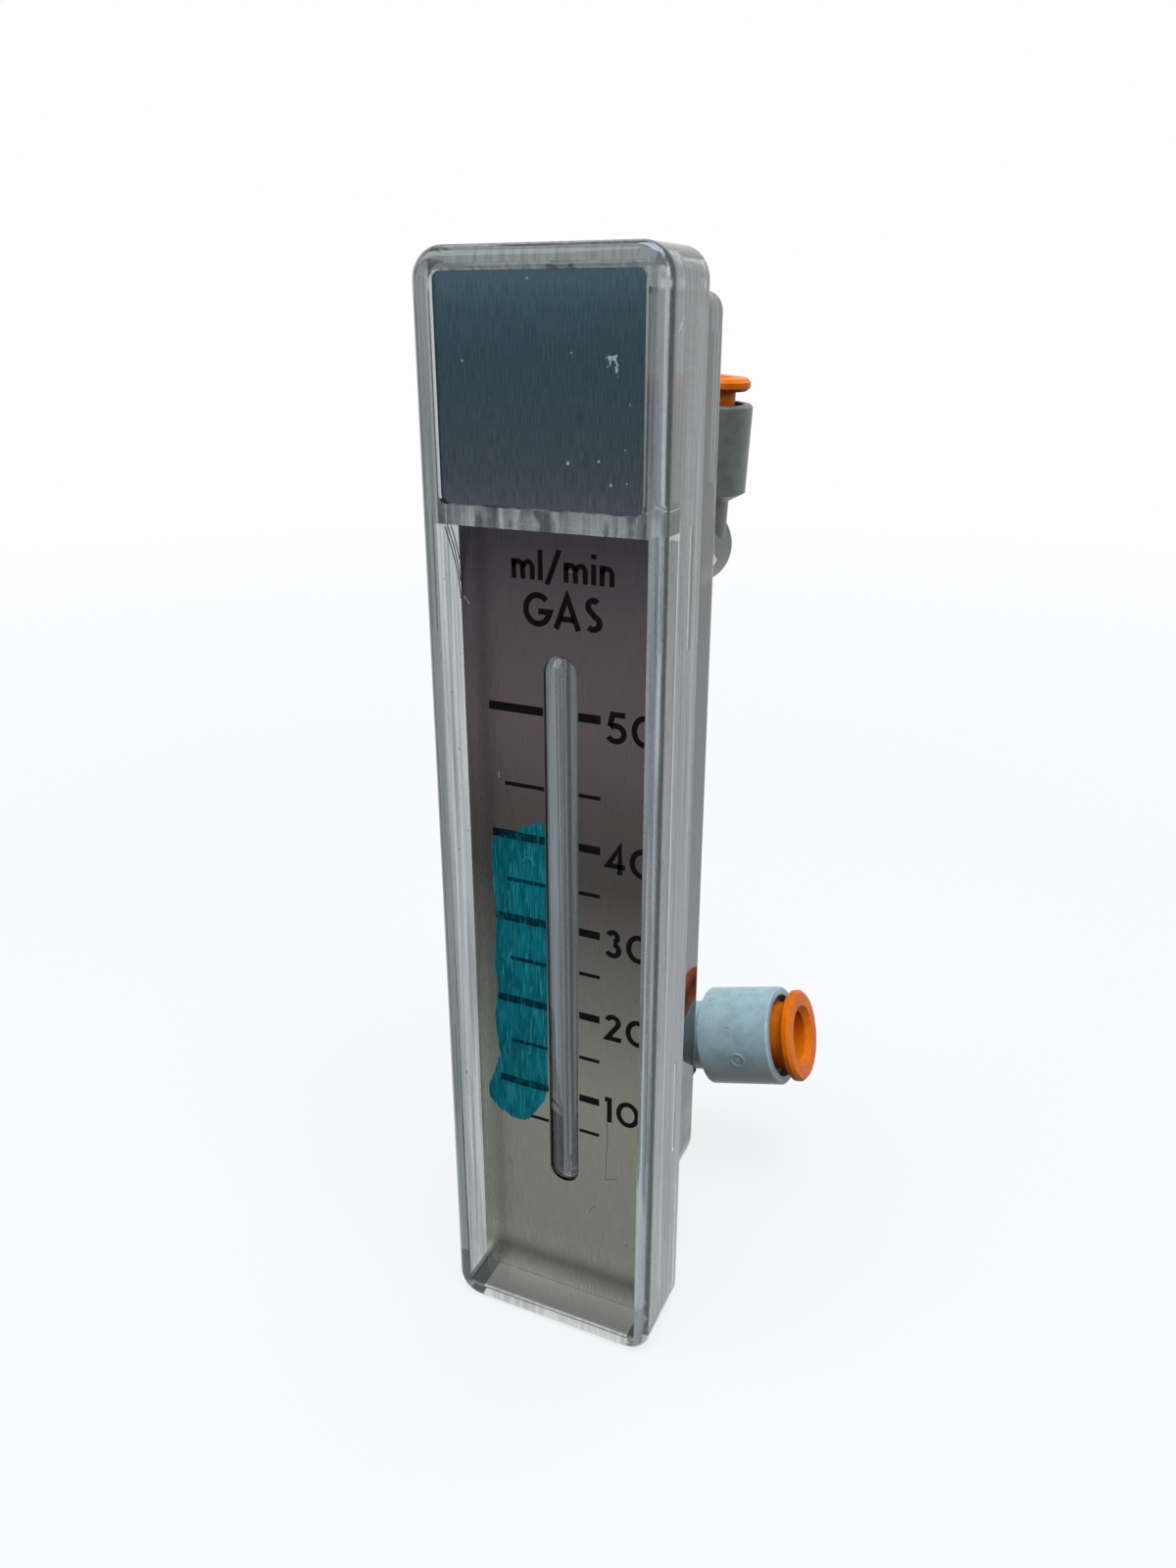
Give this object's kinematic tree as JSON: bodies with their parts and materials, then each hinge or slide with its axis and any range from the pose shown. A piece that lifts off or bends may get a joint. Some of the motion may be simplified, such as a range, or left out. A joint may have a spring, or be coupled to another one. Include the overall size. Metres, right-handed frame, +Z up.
{
  "type": "rotameter",
  "caption": "Slim clear panel-mount rotameter with a recessed scale plate, a ball float in a tapered tube and push-in elbow fittings at its back.",
  "frame": {"origin": "centre of the bezel's rear face, on the front plane of the panel that the meter is set into, in the middle of the cut-out's width and of the bezel's height", "axes": "+X to the right seen from the front, +Y into the panel and along the port axes, +Z up along the flow tube"},
  "size_m": [0.0336, 0.047, 0.1206],
  "materials": {
    "clear_polycarbonate": "clear moulded polycarbonate, polished",
    "brushed_aluminium": "vertically brushed, satin",
    "black_fill": "matt black paint fill",
    "black_glass": "polished black glass",
    "clear_acetal": "turned translucent plastic",
    "nitrile_rubber": "moulded black nitrile",
    "brass": "turned brass",
    "nickel_plated_brass": "nickel plated, turned",
    "grey_resin": "moulded light grey resin",
    "stainless_spring": "stamped stainless spring steel",
    "brown_resin": "moulded dark resin",
    "orange_resin": "moulded orange resin"
  },
  "bodies": {
    "meter": {"meter_body": "clear_polycarbonate", "bezel": "clear_polycarbonate", "nameplate": "brushed_aluminium", "scale_plate": "brushed_aluminium", "scale_graduations": "black_fill", "lower_float_stop": "clear_acetal", "upper_float_stop": "clear_acetal", "top_plug": "clear_acetal", "plug_o_ring": "nitrile_rubber", "inlet_insert": "brass", "outlet_insert": "brass", "inlet_stud": "nickel_plated_brass", "inlet_stud_o_ring": "nitrile_rubber", "outlet_stud": "nickel_plated_brass", "outlet_stud_o_ring": "nitrile_rubber"},
    "float": {"float_ball": "black_glass"},
    "inlet_elbow": {"inlet_elbow_body": "grey_resin", "inlet_tube_seal": "nitrile_rubber", "inlet_grip_ring": "stainless_spring", "inlet_guide_ring": "brown_resin"},
    "inlet_collar": {"inlet_release_collar": "orange_resin"},
    "outlet_elbow": {"outlet_elbow_body": "grey_resin", "outlet_tube_seal": "nitrile_rubber", "outlet_grip_ring": "stainless_spring", "outlet_guide_ring": "brown_resin"},
    "outlet_collar": {"outlet_release_collar": "orange_resin"}
  },
  "joints": [
    {"name": "float_travel", "type": "slide", "parent": "meter", "child": "float", "axis": [0, 0, 1], "range_m": [0, 0.0622]},
    {"name": "inlet_swivel", "type": "hinge", "parent": "meter", "child": "inlet_elbow", "pos_m": [0, 0.03085, -0.0432], "axis": [0, 1, 0], "continuous": true},
    {"name": "inlet_release", "type": "slide", "parent": "inlet_elbow", "child": "inlet_collar", "axis": [-0.9659, 0, -0.2588], "range_m": [0, 0.0012], "stiffness_N_per_m": 2000},
    {"name": "outlet_swivel", "type": "hinge", "parent": "meter", "child": "outlet_elbow", "pos_m": [0, 0.03085, 0.0278], "axis": [0, 1, 0], "continuous": true},
    {"name": "outlet_release", "type": "slide", "parent": "outlet_elbow", "child": "outlet_collar", "axis": [-0.0488, 0, -0.9988], "range_m": [0, 0.0012], "stiffness_N_per_m": 2000}
  ]
}
